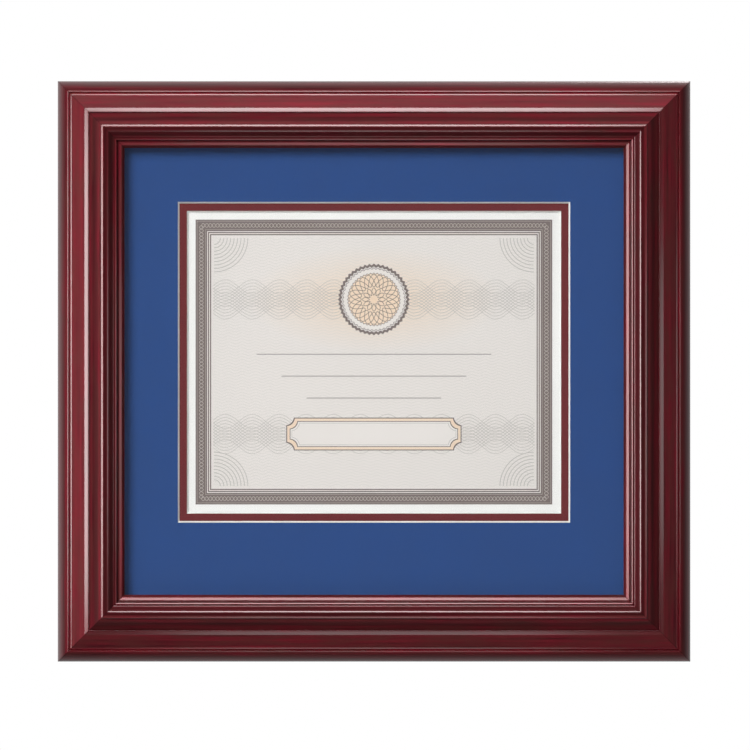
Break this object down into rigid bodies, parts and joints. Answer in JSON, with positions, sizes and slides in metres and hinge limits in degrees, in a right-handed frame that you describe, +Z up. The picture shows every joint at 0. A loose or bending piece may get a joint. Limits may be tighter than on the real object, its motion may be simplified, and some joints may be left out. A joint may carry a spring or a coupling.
{
  "type": "certificate frame",
  "caption": "Wall-hung certificate frame: mitred stepped wood moulding, glass, a double window mat and a sheet, with turn buttons that hold the backing board.",
  "frame": {"origin": "nail seat of the hanger, in the centre notch, on the back plane of the moulding", "axes": "+X to the right and +Z up as the frame hangs, seen from the front; the front faces -Y and the wall is towards +Y"},
  "size_m": [0.4044, 0.0293, 0.3711],
  "materials": {
    "lacquered_wood": "gloss lacquer over a dark cherry red stain",
    "plain_steel": "bare steel strip",
    "clear_glass": "clear",
    "blue_mat_board": "fine toothed paper face, white core",
    "maroon_mat_board": "fine toothed paper face, white core",
    "clear_tape": "adhesive tape",
    "printed_paper": "smooth printed paper",
    "pocket_paper": "folded paper",
    "white_board": "matt paper face",
    "linen_tape": "gummed linen",
    "corrugated_board": "kraft",
    "hardboard": "pressed fibre, smooth face",
    "zinc_steel": "zinc plated",
    "zinc_screws": "zinc plated",
    "brassed_steel": "brassed",
    "felt": "dense felt"
  },
  "bodies": {
    "root": {"top_rail": "lacquered_wood", "bottom_rail": "lacquered_wood", "left_stile": "lacquered_wood", "right_stile": "lacquered_wood", "corner_v_nails": "plain_steel", "glazing": "clear_glass", "outer_mat": "blue_mat_board", "inner_mat": "maroon_mat_board", "mat_tape": "clear_tape", "certificate": "printed_paper", "mounting_corners": "pocket_paper", "mount_board": "white_board", "hinge_tape": "linen_tape", "filler_board": "corrugated_board", "backing_board": "hardboard", "turn_button_screws": "zinc_screws", "hanger": "brassed_steel", "hanger_nails": "brassed_steel", "wall_bumpers": "felt"},
    "turn_button_top_right": {"turn_button_top_right": "zinc_steel"},
    "turn_button_top_left": {"turn_button_top_left": "zinc_steel"},
    "turn_button_bottom_left": {"turn_button_bottom_left": "zinc_steel"},
    "turn_button_bottom_right": {"turn_button_bottom_right": "zinc_steel"},
    "turn_button_left_upper": {"turn_button_left_upper": "zinc_steel"},
    "turn_button_left_lower": {"turn_button_left_lower": "zinc_steel"},
    "turn_button_right_lower": {"turn_button_right_lower": "zinc_steel"},
    "turn_button_right_upper": {"turn_button_right_upper": "zinc_steel"}
  },
  "joints": [
    {"name": "turn_button_top_right_swivel", "type": "hinge", "parent": "root", "child": "turn_button_top_right", "pos_m": [0.0942, 0.0007, -0.0103], "axis": [0, 1, 0], "continuous": true},
    {"name": "turn_button_top_left_swivel", "type": "hinge", "parent": "root", "child": "turn_button_top_left", "pos_m": [-0.0942, 0.0007, -0.0103], "axis": [0, 1, 0], "continuous": true},
    {"name": "turn_button_bottom_left_swivel", "type": "hinge", "parent": "root", "child": "turn_button_bottom_left", "pos_m": [-0.0942, 0.0007, -0.3228], "axis": [0, 1, 0], "continuous": true},
    {"name": "turn_button_bottom_right_swivel", "type": "hinge", "parent": "root", "child": "turn_button_bottom_right", "pos_m": [0.0942, 0.0007, -0.3228], "axis": [0, 1, 0], "continuous": true},
    {"name": "turn_button_left_upper_swivel", "type": "hinge", "parent": "root", "child": "turn_button_left_upper", "pos_m": [-0.1729, 0.0007, -0.089], "axis": [0, 1, 0], "continuous": true},
    {"name": "turn_button_left_lower_swivel", "type": "hinge", "parent": "root", "child": "turn_button_left_lower", "pos_m": [-0.1729, 0.0007, -0.2441], "axis": [0, 1, 0], "continuous": true},
    {"name": "turn_button_right_lower_swivel", "type": "hinge", "parent": "root", "child": "turn_button_right_lower", "pos_m": [0.1729, 0.0007, -0.2441], "axis": [0, 1, 0], "continuous": true},
    {"name": "turn_button_right_upper_swivel", "type": "hinge", "parent": "root", "child": "turn_button_right_upper", "pos_m": [0.1729, 0.0007, -0.089], "axis": [0, 1, 0], "continuous": true}
  ]
}
